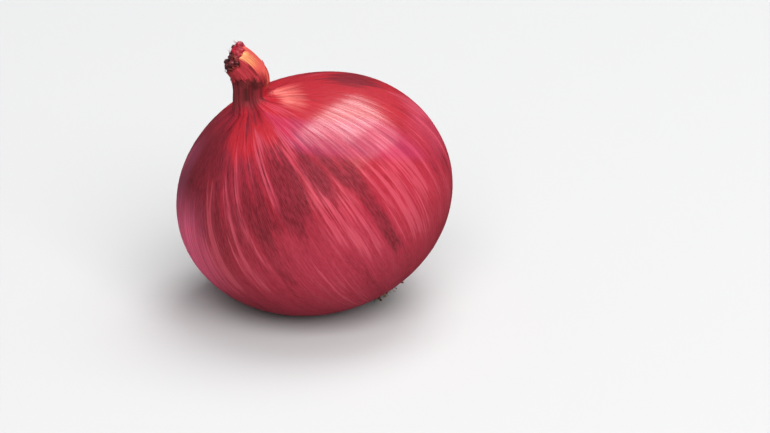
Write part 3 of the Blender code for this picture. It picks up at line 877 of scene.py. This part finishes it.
def fibre_line(draw, low, reach, lift):
    """Points along one strand that runs up the neck's skin and stands off it at the tip."""
    share = np.linspace(0, 1, FIBRE_POINTS)
    turn = draw.uniform(-math.pi, math.pi) + draw.uniform(-0.15, 0.15) * share
    up = low(turn[0]) + reach * (share - 0.3)
    radius = along_keys(NECK_RADII, np.clip(up, 0, NECK_LENGTH))
    points = np.column_stack([radius * np.cos(turn), radius * np.sin(turn), POLE + up])
    points = torn(hooded(gathered(points)))
    points[:, 0] += np.cos(turn) * lift * share**2
    points[:, 1] += np.sin(turn) * lift * share**2
    return laid_down(grown(bent(points)))


def fibre_material(name, dark, pale):
    """Matt dry skin, mottled between a darker and a paler colour."""
    material, tree, shader = principled(name, 0.6)
    spots = smooth(tree, object_noise(tree, 700.0, 2.0), 0.35, 0.65)
    tree.links.new(mix(tree, spots, dark, pale), shader.inputs["Base Color"])
    return material


def torn_edge(turn):
    """Height up the neck where strands leave the torn rim, the same at every turn."""
    return NECK_LENGTH - RIM_DEPTH


# Each kind as (name, count, where on the neck, shortest and longest reach, darker and paler colour)
FIBRES = (
    ("rim_fibres", 70, torn_edge, (0.0006, 0.0016), (0.20, 0.030, 0.030, 1), (0.50, 0.14, 0.085, 1)),
    ("sheath_fibres", 90, brink, (0.0010, 0.0026), (0.06, 0.010, 0.010, 1), (0.30, 0.040, 0.040, 1)),
)

threads = tapered_tree()
draw = random.Random(FIBRE_SEED)
for name, count, low, reach, dark, pale in FIBRES:
    lines = []
    for strand in range(count):
        length, lift = draw.uniform(*reach), draw.uniform(0.0, FIBRE_LIFT)
        lines.append(fibre_line(draw, low, length, lift))
    fibre_values = FIBRE_RADII | {"Material": fibre_material(name, dark, pale)}
    strands = made_by(threads, name, lines_mesh(name + "_lines", lines), fibre_values)
    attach(strands, "root")
    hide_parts("bulb")

# The roots
# A corky plate that the bulb grew from, sunk in its seat, with a tuft of short dried roots and
# finer root hairs between them. All of it grew on the plate.

PLATE_RADIUS = SEAT_RADIUS - 2 * FIT_GAP
PLATE_BULGE = 0.0016
ROOTS = 42
ROOT_LENGTH = 0.0034
ROOT_RADIUS = 0.00040
ROOT_SUNK = 0.0008
ROOT_SPLAY = (0.25, 1.25)
ROOT_STRAY = 0.25
ROOT_CURL = 0.25
ROOT_CLEARANCE = 0.0007
ROOT_SEED = 7
ROOT_HAIRS = 150
ROOT_POINTS = 9
HAIR_RADII = {"Foot Radius": 0.00016, "Tip Radius": 0.00007}
PLATE_COLUMNS = 160
PLATE_ROWS = 40
CORK_BROWN = (0.10, 0.045, 0.025, 1)
CORK_STRAW = (0.40, 0.26, 0.14, 1)
GOLDEN_ANGLE = math.pi * (3 - math.sqrt(5))
SEAT_EDGE = -POLE * math.sqrt(1 - (2 * SEAT_RADIUS / GIRTH) ** 2)


def root_line(index, count, draw, radius):
    """Points along one dried root, from inside the plate to its tip, kept off the ground."""
    spread = math.sqrt((index + 0.5) / count)
    turn = index * GOLDEN_ANGLE + draw.uniform(-ROOT_STRAY, ROOT_STRAY)
    out = Vector((math.cos(turn), math.sin(turn), 0))
    around = Vector((-out.y, out.x, 0))
    foot_radius = spread * (PLATE_RADIUS - 2 * ROOT_RADIUS)
    dome = PLATE_BULGE * math.sqrt(1 - (foot_radius / PLATE_RADIUS) ** 2)
    foot = out * foot_radius + Vector((0, 0, SEAT_EDGE - dome + ROOT_SUNK))
    inner, outer = ROOT_SPLAY
    splay = inner + (outer - inner) * spread + draw.uniform(-ROOT_STRAY, ROOT_STRAY)
    stray = around * draw.uniform(-2 * ROOT_STRAY, 2 * ROOT_STRAY)
    heading = (out * math.sin(splay) - Vector((0, 0, math.cos(splay))) + stray).normalized()
    curl = Vector((draw.uniform(-1, 1), draw.uniform(-1, 1), draw.uniform(-0.3, 0.3))) * ROOT_CURL
    length = ROOT_LENGTH * draw.uniform(0.6, 1.15) + ROOT_SUNK
    shares = [step / (ROOT_POINTS - 1) for step in range(ROOT_POINTS)]
    while True:
        points = np.array([foot + (heading * at + curl * at * at) * length for at in shares])
        laid = laid_down(grown(points))
        if laid[:, 2].min() > ROOT_CLEARANCE + radius or length < 2 * ROOT_SUNK:
            return laid
        length *= 0.9


def root_material():
    """Dull cork, mottled from brown to straw."""
    material, tree, shader = principled("dried_root", 0.85)
    pattern = object_noise(tree, 900.0, 3.0)
    spots = smooth(tree, pattern, 0.35, 0.65)
    tree.links.new(mix(tree, spots, CORK_BROWN, CORK_STRAW), shader.inputs["Base Color"])
    bump = add(tree, "ShaderNodeBump", {"Strength": 0.5, "Distance": 0.0003, "Height": pattern})
    tree.links.new(bump.outputs[0], shader.inputs["Normal"])
    return material


def plate_profile():
    """(radius, height) over the domed face of the plate and round to its hidden back."""
    back = SEAT_EDGE + SEAT_DEPTH - FIT_GAP
    turn = np.linspace(math.pi / 2, 0, PLATE_ROWS)
    dome = np.column_stack([PLATE_RADIUS * np.cos(turn), SEAT_EDGE - PLATE_BULGE * np.sin(turn)])
    return np.vstack([dome, [(PLATE_RADIUS - FIT_GAP, back), (0.0, back)]])


cork = root_material()
plate_values = {"Columns": PLATE_COLUMNS, "Rib Depth": 0.0, "Vein Depth": 0.0, "Material": cork}
plate_outline = np.insert(plate_profile(), 1, 0.0, axis=1)
plate = made_by(turned_skin, "root_plate", line_mesh("plate_line", plate_outline), plate_values)
set_points(plate.data, laid_down(grown(mesh_points(plate.data))))

draw = random.Random(ROOT_SEED)
thick = [root_line(index, ROOTS, draw, ROOT_RADIUS) for index in range(ROOTS)]
hairs = [root_line(index, ROOT_HAIRS, draw, ROOT_RADIUS / 3) for index in range(ROOT_HAIRS)]
root_values = {"Foot Radius": 1.25 * ROOT_RADIUS, "Tip Radius": 0.7 * ROOT_RADIUS, "Material": cork}
tuft = made_by(threads, "dried_roots", lines_mesh("root_lines", thick), root_values)
root_hairs = made_by(threads, "root_hairs", lines_mesh("hair_lines", hairs), HAIR_RADII | {"Material": cork})
for piece in (plate, tuft, root_hairs):
    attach(piece, "root")
    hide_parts("roots")

# The floor, the light and the camera
# A plain pale floor under two overlapping softboxes, whose reflections are the highlight, with a
# wide fill light from the front. The room's even light is dimmed where the coat mirrors it.

FLOOR_REACH = 6
FLOOR_GREY = (0.56, 0.56, 0.56, 1)
ROOM_COLOUR = (0.90, 0.94, 1.0, 1)
ROOM_LIGHT = 0.16
ROOM_MIRRORED = 0.05
CAMERA_ELEVATION = 22
CAMERA_DISTANCE = 1.0
CAMERA_RIGHT = 0.02133
CAMERA_DOWN = 0.00695
LENS = 154.7

scene = bpy.context.scene
scene.view_settings.view_transform = "Standard"
floor_mesh = bpy.data.meshes.new("floor")
corners = [(x * FLOOR_REACH, y * FLOOR_REACH, 0) for x, y in ((-1, -1), (1, -1), (1, 1), (-1, 1))]
floor_mesh.from_pydata(corners, [], [(0, 1, 2, 3)])
floor = bpy.data.objects.new("floor", floor_mesh)
scene.collection.objects.link(floor)
paper, tree, shader = principled("floor_paper", 0.9)
shader.inputs["Base Color"].default_value = FLOOR_GREY
shader.inputs["Specular IOR Level"].default_value = 0.0
floor_mesh.materials.append(paper)

world = bpy.data.worlds.new("studio")
world.use_nodes = True
room = world.node_tree.nodes["Background"].inputs
room["Color"].default_value = ROOM_COLOUR
mirrored = add(world.node_tree, "ShaderNodeLightPath").outputs["Is Glossy Ray"]
drop = calc(world.node_tree, "MULTIPLY", mirrored, ROOM_LIGHT - ROOM_MIRRORED)
dimmed = calc(world.node_tree, "SUBTRACT", ROOM_LIGHT, drop)
world.node_tree.links.new(dimmed, room["Strength"])
scene.world = world


def area_light(name, place, turn, size, watts):
    """A rectangular light at a place, turned by degrees from facing straight down."""
    light = bpy.data.lights.new(name, "AREA")
    light.shape = "RECTANGLE"
    light.size, light.size_y = size
    light.energy = watts
    lamp = bpy.data.objects.new(name, light)
    lamp.location = place
    lamp.rotation_euler = [math.radians(angle) for angle in turn]
    scene.collection.objects.link(lamp)
    return lamp


overhead = (0, 0, -30)
area_light("softbox", place=(0.74, 1.13, 3.0), turn=overhead, size=(1.6, 2.4), watts=63)
area_light("softbox_edge", place=(1.25, 0.72, 3.0), turn=overhead, size=(3.15, 3.5), watts=56)
fill = area_light("fill", place=(0.6, -2.7, 2.6), turn=(47, 0, 12), size=(4.0, 3.0), watts=208)
fill.visible_glossy = False
floor.visible_glossy = False

camera_data = bpy.data.cameras.new("camera")
camera_data.sensor_width = 36
camera_data.lens = LENS
camera_data.clip_start = 0.05
camera = bpy.data.objects.new("camera", camera_data)
elevation = math.radians(CAMERA_ELEVATION)
forward = Vector((0, math.cos(elevation), -math.sin(elevation)))
upward = Vector((0, math.sin(elevation), math.cos(elevation)))
camera.location = CENTRE - forward * CAMERA_DISTANCE + Vector((CAMERA_RIGHT, 0, 0)) - upward * CAMERA_DOWN
camera.rotation_euler = (math.pi / 2 - elevation, 0, 0)
scene.collection.objects.link(camera)
scene.camera = camera
